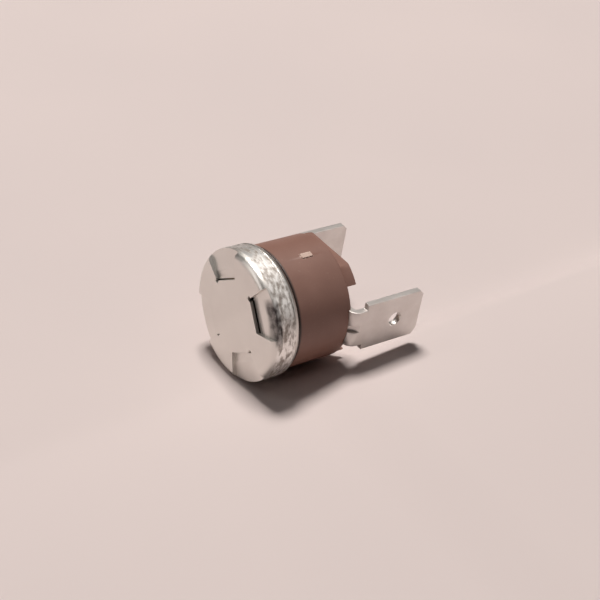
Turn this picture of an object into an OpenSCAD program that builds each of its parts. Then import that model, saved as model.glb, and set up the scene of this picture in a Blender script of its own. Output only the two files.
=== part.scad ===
// Snap disc safety thermostat: a crimped sensing cap, a moulded case and two push-on tabs.
// It lies on its side: the origin is the middle of the sensing face and the axis runs along +X.
// Pieces are built upright, sensing face down, and the last step lays each one down.

/* [Cap] */
// Outside diameter of the cap
cap_d = 16; // [15.6:0.1:17.5]
// Thickness of the cap's sheet
cap_sheet = 0.4; // [0.3:0.05:0.45]
// Outside radius of the corner round the sensing face
cap_corner = 0.9; // [0.7:0.05:1.1]
// Height of the straight side wall, from the face to the start of the rolled rim
cap_wall_h = 3.25; // [3.1:0.05:4]
// Outside radius of the rolled rim
rim_bend = 0.65; // [0.55:0.05:0.8]
// Depth of the crease that the rolling leaves below the rim
crease_depth = 0.08; // [0.04:0.01:0.15]

/* [Disc seats] */
// Number of seats pressed into the corner of the cap
seat_count = 4; // [3:1:4]
// Turn of the first seat round the axis
seat_turn = 56; // [0:0.5:120]
// Distance of each slit from the axis
seat_chord = 4.3; // [4.1:0.05:5.3]
// Length of the slit in the sensing face
slit_len = 4; // [3:0.1:5]
// Width of the slit
slit_w = 0.15; // [0.1:0.05:0.3]
// Length of the seat along the side wall
seat_len = 6.6; // [5.4:0.1:7.4]
// Depth of the pressed strip at the slit
seat_edge_drop = 0.5; // [0.45:0.05:0.7]
// Depth of the pressed strip at its crest
seat_crest_drop = 0.4; // [0.3:0.05:0.5]
// Distance from the slit to the crest
seat_crest = 1.2; // [0.6:0.1:1.4]
// Depth of the pressed strip at the side wall
seat_wall_drop = 0.7; // [0.5:0.02:0.7]
// Diameter of the pierced hole at one end of the slit
pierce_d = 0.6; // [0.4:0.05:0.8]

/* [Snap disc] */
// Diameter of the snap disc
disc_d = 12.7; // [12:0.1:13]
// Thickness of the snap disc
disc_t = 0.2; // [0.15:0.01:0.25]
// Depth of the snap disc's dish
disc_sag = 0.35; // [0.3:0.01:0.4]

/* [Guide and pin] */
// Thickness of the guide plate at its middle
guide_web = 0.85; // [0.6:0.05:1]
// Length of the guide's tube behind its plate
guide_tube = 1.8; // [1:0.1:3]
// Diameter of the guide's tube
guide_tube_d = 4.2; // [3.6:0.1:5]
// Diameter of the transfer pin
pin_d = 1.8; // [1.4:0.1:1.9]
// Running clearance round the transfer pin
pin_gap = 0.06; // [0.03:0.01:0.09]
// Free play between the cold disc and the pin
pin_play = 0.3; // [0.2:0.01:0.4]

/* [Case] */
// Step from the cap's side wall in to the barrel
case_step = 0.5; // [0.45:0.05:0.7]
// Length of the case's barrel
barrel_h = 7.4; // [7.3:0.1:9]
// Thickness of the flange that the rim is rolled over
flange_t = 0.85; // [0.7:0.05:1]
// Depth of the groove behind the flange
groove_depth = 0.15; // [0.1:0.05:0.3]
// Gap between the rolled rim and the barrel
rim_gap = 0.15; // [0.05:0.05:0.3]
// Thickness of the case's wall round the chamber, at the groove
case_wall = 0.8; // [0.6:0.05:0.9]
// Thickness of the case between the chamber and each foot
back_wall = 1.3; // [1:0.05:1.8]
// Height of the raised lands on the back
land_h = 1.4; // [0.8:0.05:1.6]
// Step from the barrel in to the lands
land_step = 0.15; // [0.05:0.05:0.3]
// Distance of the lands' flat sides from the axis
land_flat = 6.3; // [5.9:0.05:7]
// Width of the recess round each foot
recess_w = 9.4; // [8.6:0.1:10.4]
// Thickness of the barrier between the two recesses
barrier_t = 2.4; // [1.6:0.1:2.8]
// Radius of the moulded edges
case_edge = 0.2; // [0.1:0.05:0.3]
// Turn of the moulding gate's mark round the axis
gate_turn = 11; // [0:1:30]
// Distance of the gate's mark from the front of the barrel
gate_at = 4; // [3:0.1:4.5]
// Length of the gate's mark along the barrel
gate_len = 1.5; // [0.8:0.1:2]
// Width of the gate's mark
gate_w = 0.7; // [0.4:0.1:1]

/* [Tabs] */
// Width of each tab
tab_w = 6.3; // [4.8:0.1:6.3]
// Thickness of each tab
tab_t = 0.8; // [0.5:0.1:0.8]
// Distance from each rivet out to the outer face of its tab
tab_out = 3.55; // [3.4:0.05:4]
// Reach of the tabs behind the case
tab_reach = 10.25; // [8:0.05:12]
// Width of each foot and of the neck at the bend
neck_w = 4.8; // [3.8:0.1:4.8]
// Height of the tab's shoulders over the case
shoulder_h = 1.7; // [1.4:0.1:2.5]
// Outside radius of the bend
tab_bend = 1.2; // [0.9:0.1:1.4]
// Chamfer of the tab's tip corners
tip_chamfer = 0.7; // [0.5:0.1:1.5]
// Bevel of the tip's faces
tip_bevel = 0.18; // [0.1:0.02:0.2]
// Length of the bevel
bevel_len = 0.8; // [0.5:0.1:1.2]
// Diameter of the latching hole
latch_d = 1.8; // [1.4:0.1:2]
// Distance of the latching hole from the tip
latch_from_tip = 4; // [3:0.1:4.2]
// Depth that each foot sinks into the case
foot_sink = 0.4; // [0.2:0.05:0.6]
// Width of the stiffening rib pressed into the bend
rib_w = 1.3; // [0.8:0.1:1.6]

/* [Rivets] */
// Room between each washer and the chamber's wall
washer_room = 0.45; // [0.35:0.05:0.55]
// Diameter of the rivet's shank
rivet_d = 1.8; // [1.4:0.1:1.9]
// Diameter of the rivet's bore
rivet_bore = 1; // [0.6:0.1:1.2]
// Diameter of the rivet's head
rivet_head_d = 3.4; // [2.8:0.1:3.8]
// Height of the rivet's head
rivet_head_h = 0.5; // [0.3:0.05:0.7]
// Diameter of the rolled end inside
rivet_roll_d = 2.4; // [2.1:0.1:2.5]
// Height of the rolled end
rivet_roll_h = 0.45; // [0.3:0.05:0.6]
// Diameter of the washers
washer_d = 2.7; // [2.6:0.1:2.7]
// Thickness of the washers
washer_t = 0.3; // [0.2:0.05:0.4]

/* [Contacts] */
// Thickness of the fixed contact bar and of the arm's carrier
bar_t = 0.5; // [0.4:0.05:0.6]
// Width of the fixed contact bar and of the arm's carrier
bar_w = 3.2; // [2.6:0.1:3.6]
// Length of the collar between the case and the carrier
collar_h = 1; // [0.9:0.05:1.2]
// Diameter of the collar
collar_d = 3; // [2.6:0.1:3.4]
// Reach of the carrier past its rivet
carrier_reach = 2; // [1.9:0.05:2.2]
// Thickness of the contact arm
arm_t = 0.15; // [0.1:0.01:0.2]
// Width of the contact arm
arm_w = 3; // [2.4:0.1:3.4]
// Length of the arm's weld on its carrier
arm_weld = 0.6; // [0.4:0.05:0.64]
// Gap between the near washer and the post of the fixed bar
post_gap = 0.2; // [0.15:0.05:0.3]
// Gap between the pin and what stands beside it
pin_room = 0.15; // [0.1:0.05:0.2]
// Height of each contact
contact_h = 0.4; // [0.3:0.05:0.5]

/* [Hidden] */
$fn = 96;

// Clearance of a piece that drops into its seat
seat_gap = 0.05;
// Overlap that lets one cut run past another
past = 1;
// Facets of the large circle that the snap disc is part of
ball_facets = 1440;
// Width of the guide's lip that holds the disc's edge
guide_lip = 0.45;

// Cap, measured from the sensing face
cap_r = cap_d / 2;
cap_in_r = cap_r - cap_sheet;
rim_r = cap_r - rim_bend;
cap_h = cap_wall_h + rim_bend;
crease_r = 2 * crease_depth;
crease_z = cap_wall_h - crease_r;

// Case, from its flange to its lands
flange_r = cap_in_r - seat_gap;
flange_round = rim_bend - cap_sheet - seat_gap;
flange_top = cap_wall_h + flange_round;
case_front = flange_top - flange_t;
case_r = cap_r - case_step;
groove_r = rim_r - groove_depth;
barrel_z = cap_h + rim_gap;
case_back = barrel_z + barrel_h;
land_r = case_r - land_step;
land_top = case_back + land_h;
foot_z = case_back - foot_sink;
chamber_r = groove_r - case_wall;
chamber_top = foot_z - back_wall;

// Snap disc, on the inner edges of the pressed strips
disc_r = disc_d / 2;
disc_ball = (disc_r * disc_r + disc_sag * disc_sag) / (2 * disc_sag);
strip_in = seat_chord + slit_w;
disc_z = seat_edge_drop + cap_sheet + disc_sag * (1 - pow(strip_in / disc_r, 2)) + seat_gap;
disc_top = disc_z + disc_t;

// Tabs and rivets
rivet_y = chamber_r - washer_room - washer_d / 2;
rivet_r = rivet_d / 2;
rivet_head_r = rivet_head_d / 2;
tab_y = rivet_y + tab_out;
tip_z = case_back + tab_reach;
shoulder_z = case_back + shoulder_h;
foot_top = foot_z + tab_t;

// Transfer pin, from the cold disc's middle to the arm
pin_r = pin_d / 2;
pin_front = disc_top - disc_sag + pin_play;

// Contact system, measured back from the chamber's end wall
bar_foot_z = chamber_top - bar_t;
carrier_z = chamber_top - collar_h - bar_t;
arm_z = carrier_z - arm_t;
contact_z = arm_z - contact_h;
bar_z = contact_z - contact_h - bar_t;
pin_back = arm_z - seat_gap;
hinge_y = carrier_reach - rivet_y;
bar_end_y = chamber_r - 2 * seat_gap;
bar_post_y = rivet_y - washer_d / 2 - post_gap - bar_t;
arm_tip = bar_post_y - 2 * seat_gap;
contact_r = (arm_tip - pin_r - pin_room) / 2;
contact_off = arm_tip - contact_r;
stem_r = contact_r / 2;

// Lays an upright piece down: its axis along +X, its +X side up, its +Y side near
module lay() {
    rotate([180, 0, 0]) rotate([0, 90, 0]) children();
}

// Half section of a disc from z0 to z1 with round edges
module disc_section(r, z0, z1, e0, e1) {
    translate([0, z0]) square([r - max(e0, e1), z1 - z0]);
    translate([0, z0 + e0]) square([r, z1 - z0 - e0 - e1]);
    if (e0 > 0) translate([r - e0, z0 + e0]) circle(e0);
    if (e1 > 0) translate([r - e1, z1 - e1]) circle(e1);
    if (e0 < e1) translate([0, z0]) square([r - e0, z1 - z0 - e1]);
    if (e1 < e0) translate([0, z0 + e0]) square([r - e1, z1 - z0 - e0]);
}

// Strip bent along a centre line in the YZ plane, with round bends
module bent_strip(path, sheet, width) {
    rotate([90, 0, 90]) linear_extrude(width, center = true) {
        for (i = [0 : len(path) - 2]) {
            run = path[i + 1] - path[i];
            translate(path[i]) rotate(atan2(run[1], run[0])) translate([0, -sheet / 2])
                square([norm(run), sheet]);
        }
        for (i = [1 : len(path) - 2]) translate(path[i]) circle(sheet / 2);
    }
}

// Depth of the pressed strip's outer surface, from the slit out to the wall
function strip_line(start, drop) = [
    [start, seat_edge_drop + drop],
    [seat_chord + seat_crest, seat_crest_drop + drop],
    [cap_r, seat_wall_drop + drop],
    [cap_r + past, seat_wall_drop + drop],
];

// Plan of one seat: narrow at the slit and wide at the wall
module seat_plan(grow) {
    half_in = slit_len / 2 + grow;
    half_out = seat_len / 2 + grow;
    run = (half_out - half_in) / (cap_r - seat_chord) * past;
    polygon([
        [seat_chord, -half_in], [cap_r + past, -half_out - run],
        [cap_r + past, half_out + run], [seat_chord, half_in],
    ]);
}

// Block between a line of depths and a level, cut to the seat's plan
module seat_block(line, level, grow) {
    intersection() {
        rotate([90, 0, 0]) linear_extrude(2 * cap_d, center = true)
            polygon(concat(line, [[cap_r + past, level], [line[0][0], level]]));
        translate([0, 0, -2 * past]) linear_extrude(cap_h + 2 * past) seat_plan(grow);
    }
}

module at_each_seat() {
    for (i = [0 : seat_count - 1]) rotate(seat_turn + 360 / seat_count * i) children();
}

module cap_section() {
    difference() {
        union() {
            disc_section(cap_r, 0, cap_wall_h, cap_corner, 0);
            intersection() {
                translate([rim_r, cap_wall_h]) circle(rim_bend);
                translate([rim_r, cap_wall_h - past]) square([rim_bend, rim_bend + past]);
            }
        }
        disc_section(cap_in_r, cap_sheet, cap_wall_h, cap_corner - cap_sheet, 0);
        translate([0, cap_wall_h - past]) square([rim_r, rim_bend + 2 * past]);
        translate([rim_r, cap_wall_h]) circle(rim_bend - cap_sheet);
        translate([cap_r + crease_r - crease_depth, crease_z]) circle(crease_r);
    }
}

// Drawn cap with strips pressed in as seats for the disc, and a rolled rim
module sensing_cap() color("#c9c3bd") lay() difference() {
    union() {
        rotate_extrude() cap_section();
        intersection() {
            rotate_extrude() disc_section(cap_r, 0, cap_wall_h, cap_corner, 0);
            at_each_seat() seat_block(strip_line(strip_in, cap_sheet), cap_sheet / 2, cap_sheet);
        }
    }
    at_each_seat() seat_block(strip_line(seat_chord, 0), -past, 0);
    at_each_seat() translate([seat_chord, -slit_len / 2, -past])
        cylinder(d = pierce_d, h = past + cap_sheet + seat_gap);
}

// Bimetal disc, dished towards the sensing face while it is cold
module snap_disc() color("#b08d57") lay() rotate_extrude() intersection() {
    translate([0, disc_z - disc_sag]) square([disc_r, disc_sag + disc_t]);
    translate([0, disc_z - disc_sag + disc_ball]) difference() {
        circle(disc_ball, $fn = ball_facets);
        circle(disc_ball - disc_t, $fn = ball_facets);
    }
}

// Plate that keeps the disc on its seats and guides the pin
module disc_guide() color("#8a6f5c") lay() rotate_extrude() {
    bore_r = pin_r + pin_gap;
    web_z = case_front - guide_web;
    skirt_z = seat_wall_drop + cap_sheet + seat_gap;
    skirt_in = disc_r + 2 * seat_gap;
    lip_r = disc_r - guide_lip;
    difference() {
        translate([bore_r, skirt_z]) square([cap_in_r - 2 * seat_gap - bore_r, case_front - skirt_z]);
        translate([0, skirt_z - past]) square([skirt_in, disc_top + seat_gap - skirt_z + past]);
        translate([0, skirt_z - past]) square([lip_r, web_z - skirt_z + past]);
    }
    translate([bore_r, case_front - guide_web / 2])
        square([guide_tube_d / 2 - bore_r, guide_tube + guide_web / 2]);
}

// Ceramic pin with round ends
module transfer_pin() color("#e8e2d6") lay() {
    translate([0, 0, pin_front + pin_r]) sphere(pin_r);
    translate([0, 0, pin_front + pin_r]) cylinder(r = pin_r, h = pin_back - pin_front - pin_d);
    translate([0, 0, pin_back - pin_r]) sphere(pin_r);
}

// Plan of a foot, round at its inner end
module foot_plan(grow) {
    half = neck_w / 2 + grow;
    translate([0, rivet_y]) circle(half);
    translate([-half, rivet_y]) square([2 * half, tab_y - rivet_y + past]);
}

module at_both_sides() {
    for (turn = [0, 180]) rotate(turn) children();
}

// Moulded case: flange and groove for the rim, barrel, chamber, and lands round the feet
module case() color("#7b5a4e") lay() difference() {
    union() {
        rotate_extrude() {
            disc_section(flange_r, case_front, cap_wall_h, 0, 0);
            disc_section(rim_r, case_front, flange_top, 0, 0);
            translate([rim_r, cap_wall_h]) circle(flange_round);
            disc_section(groove_r, case_front, case_back, 0, 0);
            disc_section(case_r, barrel_z, case_back, case_edge, case_edge);
            disc_section(land_r, case_back - past, land_top, 0, case_edge);
        }
        rotate(gate_turn) translate([case_r - past, -gate_w / 2, barrel_z + gate_at - gate_len / 2])
            cube([past + case_edge / 2, gate_w, gate_len]);
    }
    at_both_sides() translate([land_flat, -cap_r, case_back]) cube([cap_r, cap_d, land_h + past]);
    translate([0, 0, case_front - past]) cylinder(r = chamber_r, h = chamber_top - case_front + past);
    at_both_sides() {
        translate([-recess_w / 2, barrier_t / 2, case_back]) cube([recess_w, cap_d, land_h + past]);
        translate([0, 0, foot_z]) linear_extrude(foot_sink + past) foot_plan(seat_gap);
        translate([0, rivet_y, 0]) cylinder(r = rivet_r + seat_gap, h = land_top);
    }
}

// Outline of a tab seen from its side: neck, shoulders and chamfered tip
module tab_outline() {
    half = tab_w / 2;
    polygon([
        [-neck_w / 2, foot_z - past], [neck_w / 2, foot_z - past], [neck_w / 2, shoulder_z],
        [half, shoulder_z], [half, tip_z - tip_chamfer], [half - tip_chamfer, tip_z],
        [tip_chamfer - half, tip_z], [-half, tip_z - tip_chamfer], [-half, shoulder_z],
        [-neck_w / 2, shoulder_z],
    ]);
}

// Section of a tab along its length: foot, bend and bevelled blade
module tab_section() {
    bend_y = tab_y - tab_bend;
    bend_z = foot_z + tab_bend;
    blade_in = tab_y - tab_t;
    square_in = rivet_y - neck_w;
    translate([square_in, foot_z]) square([bend_y - square_in, tab_t]);
    intersection() {
        translate([bend_y, bend_z]) difference() {
            circle(tab_bend);
            circle(tab_bend - tab_t);
        }
        translate([bend_y, foot_z]) square([tab_bend, tab_bend]);
    }
    polygon([
        [blade_in, bend_z], [tab_y, bend_z], [tab_y, tip_z - bevel_len], [tab_y - tip_bevel, tip_z],
        [blade_in + tip_bevel, tip_z], [blade_in, tip_z - bevel_len],
    ]);
}

// Tab on the near side, with its foot under the rivet
module tab() {
    rib = tab_y - tab_t - rivet_y - rivet_head_r - 2 * seat_gap;
    groove = rib + tab_t / 2;
    difference() {
        union() {
            intersection() {
                rotate([90, 0, 90]) linear_extrude(tab_w + past, center = true) tab_section();
                rotate([90, 0, 180]) linear_extrude(4 * tab_y, center = true) tab_outline();
                union() {
                    translate([0, 0, foot_z - past]) linear_extrude(tip_z) foot_plan(0);
                    translate([-tab_w, tab_y - tab_bend, shoulder_z - past / 2])
                        cube([2 * tab_w, tab_y, tip_z]);
                }
            }
            rotate([90, 0, 90]) linear_extrude(rib_w, center = true) polygon([
                [tab_y - tab_t - rib, foot_top], [tab_y - tab_t, foot_top + rib],
                [tab_y - tab_t / 2, foot_top + rib / 2], [tab_y - tab_t - rib / 2, foot_z + tab_t / 2],
            ]);
        }
        rotate([90, 0, 90]) linear_extrude(rib_w - tab_t / 2, center = true) polygon([
            [tab_y - groove, foot_z - past], [tab_y - groove, foot_z], [tab_y, foot_z + groove],
            [tab_y + past, foot_z + groove], [tab_y + past, foot_z - past],
        ]);
        translate([0, rivet_y, foot_z - past]) cylinder(r = rivet_r + seat_gap, h = tab_t + 2 * past);
        translate([0, tab_y + past, tip_z - latch_from_tip]) rotate([90, 0, 0])
            cylinder(d = latch_d, h = tab_t + 2 * past);
    }
}

module near_tab() color("#b9aaa2") lay() tab();

module far_tab() color("#b9aaa2") lay() rotate(180) tab();

// Hollow rivet with a formed head on the foot and a rolled end in the chamber
module rivet(roll_z) {
    difference() {
        rotate_extrude() {
            disc_section(rivet_head_r, foot_top, foot_top + rivet_head_h, 0, rivet_head_h / 2);
            disc_section(rivet_r, roll_z, foot_top + past / 2, 0, 0);
            disc_section(rivet_roll_d / 2, roll_z - rivet_roll_h, roll_z, rivet_roll_h / 2, 0);
        }
        translate([0, 0, roll_z - past]) cylinder(d = rivet_bore, h = foot_top - roll_z + 3 * past);
    }
}

module near_rivet() color("#c2a878") lay() translate([0, rivet_y, 0]) rivet(bar_foot_z - washer_t);

module far_rivet() color("#c2a878") lay() translate([0, -rivet_y, 0]) rivet(carrier_z - washer_t);

// Flat ring round a rivet's shank
module ring(outer_d, z, h) {
    translate([0, 0, z]) difference() {
        cylinder(d = outer_d, h = h);
        translate([0, 0, -past]) cylinder(r = rivet_r + seat_gap, h = h + 2 * past);
    }
}

module near_washer() color("#c9c9c4") lay()
    translate([0, rivet_y, 0]) ring(washer_d, bar_foot_z - washer_t, washer_t);

module far_washer() color("#c9c9c4") lay()
    translate([0, -rivet_y, 0]) ring(washer_d, carrier_z - washer_t, washer_t);

// Brass bar that rises from the near rivet and hooks over the end of the arm
module fixed_bar() color("#c2a24e") lay() difference() {
    bent_strip([
        [bar_end_y - bar_t, bar_foot_z + bar_t / 2], [bar_post_y + bar_t / 2, bar_foot_z + bar_t / 2],
        [bar_post_y + bar_t / 2, bar_z + bar_t / 2], [pin_r, bar_z + bar_t / 2],
    ], bar_t, bar_w);
    translate([0, 0, bar_z - past]) cylinder(r = pin_r + pin_room, h = bar_t + 2 * past);
    translate([0, contact_off, bar_z - past]) cylinder(r = stem_r, h = bar_t + 2 * past);
    translate([0, rivet_y, bar_foot_z - past]) cylinder(r = rivet_r + seat_gap, h = bar_t + 2 * past);
}

// Contact button with a stem through its carrier: the face is at z, the stem runs along way
module contact_button(z, way, stem) {
    translate([0, contact_off, z]) rotate([way > 0 ? 0 : 180, 0, 0]) rotate_extrude() {
        disc_section(contact_r, 0, contact_h, contact_h / 4, 0);
        square([stem_r - seat_gap / 5, contact_h + stem]);
    }
}

module fixed_contact() color("#d8d8d4") lay() contact_button(contact_z, -1, bar_t);

module moving_contact() color("#d8d8d4") lay() {
    contact_button(contact_z, 1, arm_t);
    translate([0, contact_off, carrier_z]) cylinder(r = 1.4 * stem_r, h = arm_t);
}

// Collar that holds the carrier off the end wall
module arm_collar() color("#c2a24e") lay()
    translate([0, -rivet_y, 0]) ring(collar_d, chamber_top - collar_h, collar_h);

// Stiff plate under the far rivet, whose inner edge the arm flexes over
module arm_carrier() color("#c2a24e") lay() translate([0, 0, carrier_z]) difference() {
    union() {
        translate([0, -rivet_y, 0]) cylinder(d = washer_d, h = bar_t);
        translate([-bar_w / 2, -rivet_y, 0]) cube([bar_w, carrier_reach, bar_t]);
    }
    translate([0, -rivet_y, -past]) cylinder(r = rivet_r + seat_gap, h = bar_t + 2 * past);
}

// Spring arm, welded to the carrier and free as far as its contact
module contact_arm() color("#b87b45") lay() translate([0, 0, arm_z]) difference() {
    union() {
        translate([-arm_w / 2, hinge_y - arm_weld, 0]) cube([arm_w, arm_weld - hinge_y, arm_t]);
        translate([-contact_r, -arm_t, 0]) cube([2 * contact_r, contact_off + arm_t, arm_t]);
        cylinder(d = arm_w, h = arm_t);
        translate([0, contact_off, 0]) cylinder(r = contact_r, h = arm_t);
    }
    translate([0, contact_off, -past]) cylinder(r = stem_r, h = arm_t + 2 * past);
}

sensing_cap();
snap_disc();
disc_guide();
transfer_pin();
case();
near_tab();
far_tab();
near_rivet();
far_rivet();
near_washer();
far_washer();
fixed_bar();
fixed_contact();
arm_collar();
arm_carrier();
contact_arm();
moving_contact();
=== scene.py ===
"""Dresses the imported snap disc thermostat: metal and moulding finishes, pale paper, soft light and camera."""

import math

import bpy
from mathutils import Matrix, Vector


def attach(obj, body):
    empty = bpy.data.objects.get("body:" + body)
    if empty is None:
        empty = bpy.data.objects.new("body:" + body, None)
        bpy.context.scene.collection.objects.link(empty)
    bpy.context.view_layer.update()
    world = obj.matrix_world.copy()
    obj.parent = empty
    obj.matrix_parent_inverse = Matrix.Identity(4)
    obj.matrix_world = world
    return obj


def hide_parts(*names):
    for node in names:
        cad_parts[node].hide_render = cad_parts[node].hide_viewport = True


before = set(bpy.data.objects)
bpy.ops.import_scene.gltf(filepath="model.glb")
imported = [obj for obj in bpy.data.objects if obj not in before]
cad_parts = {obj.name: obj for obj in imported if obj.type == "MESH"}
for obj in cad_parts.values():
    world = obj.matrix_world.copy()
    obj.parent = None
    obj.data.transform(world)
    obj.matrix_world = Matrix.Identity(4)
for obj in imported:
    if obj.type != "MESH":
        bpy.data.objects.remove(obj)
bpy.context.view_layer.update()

MM = 0.001
# A Mix node keeps a set of sockets for each kind of value, so they are known by number
FACTOR, FIRST_COLOUR, SECOND_COLOUR, COLOUR_OUT = 0, 6, 7, 2
FIRST_NUMBER, SECOND_NUMBER, NUMBER_OUT = 2, 3, 0
# The soft boxes are turned to this point inside the thermostat, in millimetres
LIT_POINT = (5, 0, 0)


def paint(hex_colour):
    """An sRGB hex colour as the linear colour that a shader takes."""
    parts = [int(hex_colour[i:i + 2], 16) / 255 for i in (0, 2, 4)]
    return [p / 12.92 if p <= 0.04045 else ((p + 0.055) / 1.055) ** 2.4 for p in parts] + [1]


def add(mat, kind, settings=None, links=None):
    """Adds one node to a material, with its settings and what feeds it, and returns it."""
    n = mat.node_tree.nodes.new(kind)
    for name, value in (settings or {}).items():
        if isinstance(name, str) and hasattr(n, name):
            setattr(n, name, value)
        else:
            n.inputs[name].default_value = value
    for name, source in (links or {}).items():
        mat.node_tree.links.new(source, n.inputs[name])
    return n


def new_finish(name):
    """A new material, its shader, and the object coordinates that its patterns read."""
    mat = bpy.data.materials.new(name)
    mat.use_nodes = True
    mat.node_tree.nodes.clear()
    skin = add(mat, "ShaderNodeBsdfPrincipled")
    add(mat, "ShaderNodeOutputMaterial", links={"Surface": skin.outputs["BSDF"]})
    where = add(mat, "ShaderNodeTexCoord").outputs["Object"]
    return mat, skin, where


def dress(mat, skin, **sources):
    """Feeds the shader: base_color=, metallic=, roughness= and normal= each take what a pattern gives."""
    for name, source in sources.items():
        mat.node_tree.links.new(source, skin.inputs[name.replace("_", " ").title()])


def overlap(mat, *masks):
    """The product of masks, which is 1 only where all of them are."""
    product = masks[0]
    for mask in masks[1:]:
        product = add(mat, "ShaderNodeMath", {"operation": "MULTIPLY"}, {0: product, 1: mask}).outputs["Value"]
    return product


def band(mat, value, limits, soft):
    """A mask that is 1 while a value in metres lies between two limits in millimetres, with soft ends."""
    low, high = limits
    rise = add(mat, "ShaderNodeMapRange",
               {"From Min": (low - soft) * MM, "From Max": (low + soft) * MM}, {"Value": value})
    fall = add(mat, "ShaderNodeMapRange",
               {"From Min": (high - soft) * MM, "From Max": (high + soft) * MM, "To Min": 1, "To Max": 0},
               {"Value": value})
    return overlap(mat, rise.outputs["Result"], fall.outputs["Result"])


def satin_aluminium():
    """Drawn aluminium sheet: a smooth satin face, a side wall scuffed round by the rolling, and painted shade in the
    near seat's dip.
    """
    mat, skin, where = new_finish("satin drawn aluminium")
    # The wall, and the dip behind the near seat's crest where shade is painted, in millimetres along the axis and
    # away from it
    wall_along, wall_away = (0.8, 3.2), (7.7, 9)
    dip_along, dip_away = (0.50, 1.3), (6.6, 8.3)
    # The near seat's own directions, outwards and along its crest, and how far the dip reaches in each
    outwards, dip_outwards = (0, -0.829, 0.559), (5.9, 9)
    crestwise, dip_crestwise = (0, 0.559, 0.829), (-3.4, 1.4)

    across = add(mat, "ShaderNodeVectorMath", {"operation": "MULTIPLY", 1: (0, 1, 1)}, {0: where})
    from_axis = add(mat, "ShaderNodeVectorMath", {"operation": "LENGTH"}, {0: across.outputs["Vector"]})
    away = from_axis.outputs["Value"]
    along = add(mat, "ShaderNodeSeparateXYZ", links={"Vector": where}).outputs["X"]

    # The face's own grain is far finer than a pixel, so it is drawn at 0.3 mm, and the clouds are 4.5 mm wide
    grain = add(mat, "ShaderNodeTexNoise", {"Scale": 3300, "Detail": 4, "Roughness": 0.6}, {"Vector": where})
    cloud = add(mat, "ShaderNodeTexNoise", {"Scale": 220, "Detail": 3}, {"Vector": where})
    tone = add(mat, "ShaderNodeMix",
               {"data_type": "RGBA", FIRST_COLOUR: paint("dcd8d3"), SECOND_COLOUR: paint("ece9e4")},
               {FACTOR: cloud.outputs["Fac"]})

    # Scuffs on the wall run round it: they are 0.45 mm wide along the axis and twice as long
    round_it = add(mat, "ShaderNodeMapping", {"Scale": (2, 1, 1)}, {"Vector": where})
    scuff = add(mat, "ShaderNodeTexNoise", {"Scale": 1100, "Detail": 3, "Roughness": 0.5, "Distortion": 0.2},
                {"Vector": round_it.outputs["Vector"]})
    wall = overlap(mat, band(mat, along, wall_along, 0.15), band(mat, away, wall_away, 0.1))
    worn = add(mat, "ShaderNodeMapRange", {"From Min": 0.37, "From Max": 0.61}, {"Value": scuff.outputs["Fac"]})
    scuffed = add(mat, "ShaderNodeMix",
                  {"data_type": "RGBA", FIRST_COLOUR: paint("aca49d"), SECOND_COLOUR: paint("fffdfa")},
                  {FACTOR: worn.outputs["Result"]})
    metal = add(mat, "ShaderNodeMix", {"data_type": "RGBA"},
                {FACTOR: wall, FIRST_COLOUR: tone.outputs[COLOUR_OUT], SECOND_COLOUR: scuffed.outputs[COLOUR_OUT]})

    # Painted shade: a dark tone with no metal in it lies in patches where the near seat dips behind its crest
    out_of_seat = add(mat, "ShaderNodeVectorMath", {"operation": "DOT_PRODUCT", 1: outwards}, {0: where})
    along_crest = add(mat, "ShaderNodeVectorMath", {"operation": "DOT_PRODUCT", 1: crestwise}, {0: where})
    dip = overlap(mat, band(mat, along, dip_along, 0.1), band(mat, away, dip_away, 0.25))
    near_dip = overlap(mat, band(mat, out_of_seat.outputs["Value"], dip_outwards, 0.3),
                       band(mat, along_crest.outputs["Value"], dip_crestwise, 0.5), dip)
    patchy = add(mat, "ShaderNodeMapRange", {"From Min": 0.35, "From Max": 0.60, "To Min": 1.0, "To Max": 0.6},
                 {"Value": scuff.outputs["Fac"]})
    painted_seat_shade = overlap(mat, near_dip, patchy.outputs["Result"])
    colour = add(mat, "ShaderNodeMix", {"data_type": "RGBA", SECOND_COLOUR: paint("33292a")},
                 {FACTOR: painted_seat_shade, FIRST_COLOUR: metal.outputs[COLOUR_OUT]})
    # The metal stays only outside the painted shade
    metal_outside_shade = add(mat, "ShaderNodeMath", {"operation": "SUBTRACT", 0: 1}, {1: painted_seat_shade})

    smooth = add(mat, "ShaderNodeMapRange", {"To Min": 0.32, "To Max": 0.46}, {"Value": grain.outputs["Fac"]})
    rubbed = add(mat, "ShaderNodeMapRange", {"To Min": 0.62, "To Max": 0.42}, {"Value": worn.outputs["Result"]})
    rough = add(mat, "ShaderNodeMix", {"data_type": "FLOAT"},
                {FACTOR: wall, FIRST_NUMBER: smooth.outputs["Result"], SECOND_NUMBER: rubbed.outputs["Result"]})
    fine = add(mat, "ShaderNodeBump", {"Strength": 0.2, "Distance": 0.01 * MM}, {"Height": grain.outputs["Fac"]})
    bump = add(mat, "ShaderNodeBump", {"Strength": 0.42, "Distance": 0.08 * MM},
               {"Height": overlap(mat, wall, scuff.outputs["Fac"]), "Normal": fine.outputs["Normal"]})
    dress(mat, skin, base_color=colour.outputs[COLOUR_OUT], metallic=metal_outside_shade.outputs["Value"],
          roughness=rough.outputs[NUMBER_OUT], normal=bump.outputs["Normal"])
    return mat


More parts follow.
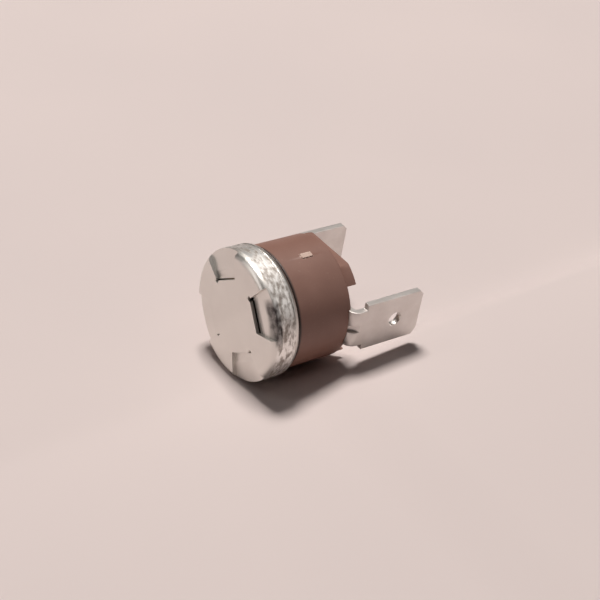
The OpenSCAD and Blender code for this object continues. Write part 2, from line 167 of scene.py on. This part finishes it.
def moulded_phenolic():
    """Brown phenolic, compression moulded: low sheen, fine mineral filler, and a paler break where the gate was."""
    mat, skin, where = new_finish("brown moulded phenolic")
    skin.inputs["IOR"].default_value = 1.58
    # The gate's mark is 1.5 mm along the barrel and 0.7 mm round it, on the upper near side. Its edge is torn:
    # a noise moves it by up to 0.4 mm each way, and the limits are 0.2 mm further on for that
    tear = 0.4 * MM
    gate_along, gate_sideways, gate_up = (7.48, 9.02), (-1.62, -0.86), (7.2, 9)
    # The gap behind the cap's rolled rim, where shade is painted
    gap_along = (3, 4.3)

    # The filler's grain is drawn at 0.33 mm, and the clouds in the resin are 4 mm wide
    grain = add(mat, "ShaderNodeTexNoise", {"Scale": 3000, "Detail": 3, "Roughness": 0.6}, {"Vector": where})
    cloud = add(mat, "ShaderNodeTexNoise", {"Scale": 260, "Detail": 3}, {"Vector": where})
    tone = add(mat, "ShaderNodeMix",
               {"data_type": "RGBA", FIRST_COLOUR: paint("845d50"), SECOND_COLOUR: paint("9e7567")},
               {FACTOR: cloud.outputs["Fac"]})
    spots = add(mat, "ShaderNodeMapRange", {"From Min": 0.62, "From Max": 0.80}, {"Value": grain.outputs["Fac"]})
    speck = add(mat, "ShaderNodeMix", {"data_type": "RGBA", SECOND_COLOUR: paint("a07e70")},
                {FACTOR: spots.outputs["Result"], FIRST_COLOUR: tone.outputs[COLOUR_OUT]})

    parts = add(mat, "ShaderNodeSeparateXYZ", links={"Vector": where})
    torn = add(mat, "ShaderNodeTexNoise", {"Scale": 4500, "Detail": 2}, {"Vector": where})
    moved = add(mat, "ShaderNodeVectorMath", {"operation": "MULTIPLY_ADD", 1: (tear, tear, 0)},
                {0: torn.outputs["Color"], 2: where})
    near = add(mat, "ShaderNodeSeparateXYZ", links={"Vector": moved.outputs["Vector"]})
    gate = overlap(mat, band(mat, near.outputs["X"], gate_along, 0.06),
                   band(mat, near.outputs["Y"], gate_sideways, 0.06),
                   band(mat, parts.outputs["Z"], gate_up, 0.05))
    broken = add(mat, "ShaderNodeMix",
                 {"data_type": "RGBA", FIRST_COLOUR: paint("c39f8f"), SECOND_COLOUR: paint("f3dccf")},
                 {FACTOR: torn.outputs["Fac"]})
    colour = add(mat, "ShaderNodeMix", {"data_type": "RGBA"},
                 {FACTOR: gate, FIRST_COLOUR: speck.outputs[COLOUR_OUT], SECOND_COLOUR: broken.outputs[COLOUR_OUT]})

    # Painted shade: the case is darkened in the gap behind the rolled rim
    gap = band(mat, parts.outputs["X"], gap_along, 0.12)
    gap_shaded = add(mat, "ShaderNodeMix", {"data_type": "RGBA", SECOND_COLOUR: paint("3a2a24")},
                {FACTOR: gap, FIRST_COLOUR: colour.outputs[COLOUR_OUT]})
    rough = add(mat, "ShaderNodeMapRange", {"To Min": 0.42, "To Max": 0.60}, {"Value": grain.outputs["Fac"]})
    bump = add(mat, "ShaderNodeBump", {"Strength": 0.3, "Distance": 0.012 * MM}, {"Height": grain.outputs["Fac"]})
    dress(mat, skin, base_color=gap_shaded.outputs[COLOUR_OUT], roughness=rough.outputs["Result"],
          normal=bump.outputs["Normal"])
    return mat


def tinned_brass():
    """Brass sheet with a matt tin plate: a pale grey metal with rolling grain along the blade."""
    mat, skin, where = new_finish("tin plated brass sheet")
    skin.inputs["Metallic"].default_value = 1
    # The rolling grain is 0.3 mm wide and 2.4 mm long, and the plate is clouded every 2 mm
    rolled = add(mat, "ShaderNodeMapping", {"Scale": (1, 8, 8)}, {"Vector": where})
    grain = add(mat, "ShaderNodeTexNoise", {"Scale": 420, "Detail": 4, "Roughness": 0.6},
                {"Vector": rolled.outputs["Vector"]})
    cloud = add(mat, "ShaderNodeTexNoise", {"Scale": 500, "Detail": 4}, {"Vector": where})
    tone = add(mat, "ShaderNodeMix",
               {"data_type": "RGBA", FIRST_COLOUR: paint("cfc8c3"), SECOND_COLOUR: paint("ebe7e4")},
               {FACTOR: cloud.outputs["Fac"]})
    rough = add(mat, "ShaderNodeMapRange", {"To Min": 0.34, "To Max": 0.52}, {"Value": grain.outputs["Fac"]})
    bump = add(mat, "ShaderNodeBump", {"Strength": 0.2, "Distance": 0.01 * MM}, {"Height": grain.outputs["Fac"]})
    dress(mat, skin, base_color=tone.outputs[COLOUR_OUT], roughness=rough.outputs["Result"],
          normal=bump.outputs["Normal"])
    return mat


def matt_paper():
    """Uncoated paper: matt and pale pink, slightly clouded, with a fibre grain drawn at 0.5 mm to show."""
    mat, skin, where = new_finish("pale matt paper")
    skin.inputs["Roughness"].default_value = 0.8
    cloud = add(mat, "ShaderNodeTexNoise", {"Scale": 25, "Detail": 2}, {"Vector": where})
    tone = add(mat, "ShaderNodeMix",
               {"data_type": "RGBA", FIRST_COLOUR: paint("e2d5d3"), SECOND_COLOUR: paint("e9dbd8")},
               {FACTOR: cloud.outputs["Fac"]})
    fibre = add(mat, "ShaderNodeTexNoise", {"Scale": 2000, "Detail": 2}, {"Vector": where})
    bump = add(mat, "ShaderNodeBump", {"Strength": 0.15, "Distance": 0.05 * MM}, {"Height": fibre.outputs["Fac"]})
    dress(mat, skin, base_color=tone.outputs[COLOUR_OUT], normal=bump.outputs["Normal"])
    return mat


def inner_finish(name, dull, bright, smoothest, roughest, metallic=1):
    """A small inner part: its material in two close tones, with a worked grain of 0.7 mm."""
    mat, skin, where = new_finish(name)
    skin.inputs["Metallic"].default_value = metallic
    grain = add(mat, "ShaderNodeTexNoise", {"Scale": 1400, "Detail": 3}, {"Vector": where})
    tone = add(mat, "ShaderNodeMix",
               {"data_type": "RGBA", FIRST_COLOUR: paint(dull), SECOND_COLOUR: paint(bright)},
               {FACTOR: grain.outputs["Fac"]})
    rough = add(mat, "ShaderNodeMapRange", {"To Min": smoothest, "To Max": roughest}, {"Value": grain.outputs["Fac"]})
    dress(mat, skin, base_color=tone.outputs[COLOUR_OUT], roughness=rough.outputs["Result"])
    return mat


def finish_nodes(finish, *nodes):
    """Gives a material to the CAD nodes that are made of it."""
    for node in nodes:
        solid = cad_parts[node]
        solid.data.materials.clear()
        solid.data.materials.append(finish)


def break_edges(node, width, sharp_from, flat_sheet):
    """A copy of a stamped or moulded solid whose sharp edges are broken, as a die or a tumbler leaves them.

    The width is in millimetres, and edges that turn by more than sharp_from degrees are broken. The triangles of a
    flat sheet are joined first, and those of a round moulding only lose their slivers."""
    bpy.ops.object.select_all(action="DESELECT")
    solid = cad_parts[node]
    solid.select_set(True)
    bpy.context.view_layer.objects.active = solid
    bpy.ops.object.duplicate()
    piece = bpy.context.object
    piece.name = node + "_edges"
    bpy.ops.object.mode_set(mode="EDIT")
    bpy.ops.mesh.select_all(action="SELECT")
    bpy.ops.mesh.remove_doubles(threshold=0.0005 * MM)
    if flat_sheet:
        bpy.ops.mesh.dissolve_limited(angle_limit=math.radians(0.3))
    else:
        bpy.ops.mesh.dissolve_degenerate(threshold=0.01 * MM)
    bpy.ops.object.mode_set(mode="OBJECT")
    edge = piece.modifiers.new("broken edge", "BEVEL")
    edge.width, edge.segments = width * MM, 2
    edge.limit_method, edge.angle_limit = "ANGLE", math.radians(sharp_from)
    edge.use_clamp_overlap = True
    bpy.ops.object.modifier_apply(modifier=edge.name)
    bpy.ops.object.shade_smooth_by_angle(angle=math.radians(30))
    flat = piece.modifiers.new("flats lead the shading", "WEIGHTED_NORMAL")
    flat.keep_sharp = True
    bpy.ops.object.modifier_apply(modifier=flat.name)
    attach(piece, "housing")
    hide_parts(node)


def eased(value, start, end):
    """0 before start, 1 after end, and a soft slope between."""
    along = min(1, max(0, (value - start) / (end - start)))
    return along * along * (3 - 2 * along)


def lay_floor():
    """Pale paper that lies level under the cap's rim and the case's back edge.

    It curls up towards the near tab, is level again beyond, and is cockled a little more just under that tab."""
    # The thermostat lies on its rim and its back edge: the paper's pitch along the axis, and its depth under it in mm
    pitch, drop = math.radians(3.54), 8.19
    # The curl starts 1.7 mm in front of the line on which the thermostat lies, within a bend of 1 mm, and has
    # levelled out after about twice its reach
    curl, curl_start, curl_bend, curl_reach = math.radians(8.5), 1.7, 1, 14
    # The cockle's height under the near tab, and where it comes up along the axis and across it, in mm
    cockle, cockle_along, cockle_across = 1.3, (2, 14), (3, 7)
    # The squares are half a millimetre within 10 mm of the axis, and grow to 80 mm at the paper's ends
    fine_zone, growth = 10, 5.7

    bpy.ops.object.select_all(action="DESELECT")
    bpy.ops.mesh.primitive_grid_add(x_subdivisions=200, y_subdivisions=300, size=2)
    floor = bpy.context.object
    floor.name = "floor"
    for corner in floor.data.vertices:
        x, y = (fine_zone * math.sinh(growth * part) for part in corner.co[:2])
        z = (-drop + x * math.sin(pitch)) / math.cos(pitch)
        past_start = -y - curl_start
        lifted = (math.hypot(past_start, curl_bend) + past_start) / 2
        z += curl_reach * math.tanh(lifted / curl_reach) * math.tan(curl)
        z += cockle * eased(x, *cockle_along) * eased(-y, *cockle_across)
        corner.co = (x * MM, y * MM, z * MM)
    bpy.ops.object.shade_smooth()
    floor.data.materials.append(matt_paper())


def set_camera():
    """The photograph's own view: the axes were fitted to the cap's outline, the rim and both tabs."""
    right = Vector((0.8089, -0.5696, 0.1459))
    back = Vector((-0.5423, -0.6270, 0.5593)).normalized()
    right = (right - back * right.dot(back)).normalized()
    up = back.cross(right)
    lens = bpy.data.cameras.new("camera")
    lens.lens, lens.sensor_width = 82.07, 36
    lens.clip_start, lens.clip_end = 0.01, 10
    camera = bpy.data.objects.new("camera", lens)
    bpy.context.scene.collection.objects.link(camera)
    camera.location = Vector((-78.98, -102.39, 91.02)) * MM
    camera.rotation_euler = Matrix((right, up, back)).transposed().to_euler()
    bpy.context.scene.camera = camera


def softbox(name, place, size, power, colour, fills=True):
    """A square soft light, its place and size in millimetres and its power in watts.

    One that doesn't fill gives gloss only, as a white card beside the object does."""
    light = bpy.data.lights.new(name, "AREA")
    light.size, light.energy, light.color = size * MM, power, paint(colour)[:3]
    lamp = bpy.data.objects.new(name, light)
    bpy.context.scene.collection.objects.link(lamp)
    lamp.visible_diffuse = fills
    lamp.location = Vector(place) * MM
    lamp.rotation_euler = (Vector(place) - Vector(LIT_POINT)).to_track_quat("Z", "Y").to_euler()


def set_wall():
    """The pale wall behind a low view. Only the camera sees it: the soft boxes give all the light."""
    studio = bpy.data.worlds.new("studio")
    bpy.context.scene.world = studio
    studio.use_nodes = True
    wall = studio.node_tree.nodes["Background"]
    wall.inputs["Color"].default_value = paint("f5eeec")
    wall.inputs["Strength"].default_value = 0.6
    studio.cycles_visibility.diffuse = False
    studio.cycles_visibility.glossy = False


finish_nodes(satin_aluminium(), "sensing_cap")
finish_nodes(moulded_phenolic(), "case")
finish_nodes(tinned_brass(), "near_tab", "far_tab")
# Dull warm grey, as a strip comes from the rolls
finish_nodes(inner_finish("rolled bimetal strip", "8d7f6c", "a3937d", 0.3, 0.45), "snap_disc")
# Dark and matt, with no gloss from a polished mould
finish_nodes(inner_finish("pressed phenolic guide", "54423a", "654f45", 0.5, 0.65, metallic=0), "disc_guide")
# Cream, and half smooth from the grinding
finish_nodes(inner_finish("ground steatite ceramic", "e2dccb", "efe9da", 0.35, 0.5, metallic=0), "transfer_pin")
# Pale yellow, rubbed bright by the tool that rolls the ends
finish_nodes(inner_finish("formed brass rivet", "b79d6a", "cdb685", 0.3, 0.45), "near_rivet", "far_rivet")
# Cool light grey
finish_nodes(inner_finish("zinc plated steel washer", "b4b4b0", "cacac6", 0.3, 0.42), "near_washer", "far_washer")
# Deeper yellow than the rivets, because nothing has worked it since it was rolled
finish_nodes(inner_finish("bare brass sheet", "b9984f", "cfb06a", 0.28, 0.42),
             "fixed_bar", "arm_collar", "arm_carrier")
# White metal, the smoothest piece inside
finish_nodes(inner_finish("silver alloy contact", "d0d0cc", "e4e4e0", 0.2, 0.32), "fixed_contact", "moving_contact")
# Reddish and smooth
finish_nodes(inner_finish("copper alloy spring sheet", "b0703f", "c88a58", 0.25, 0.38), "contact_arm")

break_edges("near_tab", 0.06, 32, flat_sheet=True)
break_edges("far_tab", 0.06, 32, flat_sheet=True)
break_edges("case", 0.05, 60, flat_sheet=False)

lay_floor()
set_camera()
softbox("key", (50, 400, 1130), 290, 12.5, "fffaf5")
softbox("window", (-720, 420, 864), 300, 0.45, "fffaf7")
softbox("ceiling", (50, 0, 1600), 1600, 2.4, "fff8f6")
softbox("back card", (609, 744, 945), 900, 0.25, "fff8f4", fills=False)
softbox("top card", (715, -20, 1080), 600, 1.0, "fff8f4", fills=False)
softbox("left card", (-950, 350, 420), 700, 2.2, "fff8f4", fills=False)
softbox("side card", (640, -760, 800), 900, 2.1, "fff8f4", fills=False)
set_wall()
bpy.context.scene.view_settings.view_transform = "Standard"
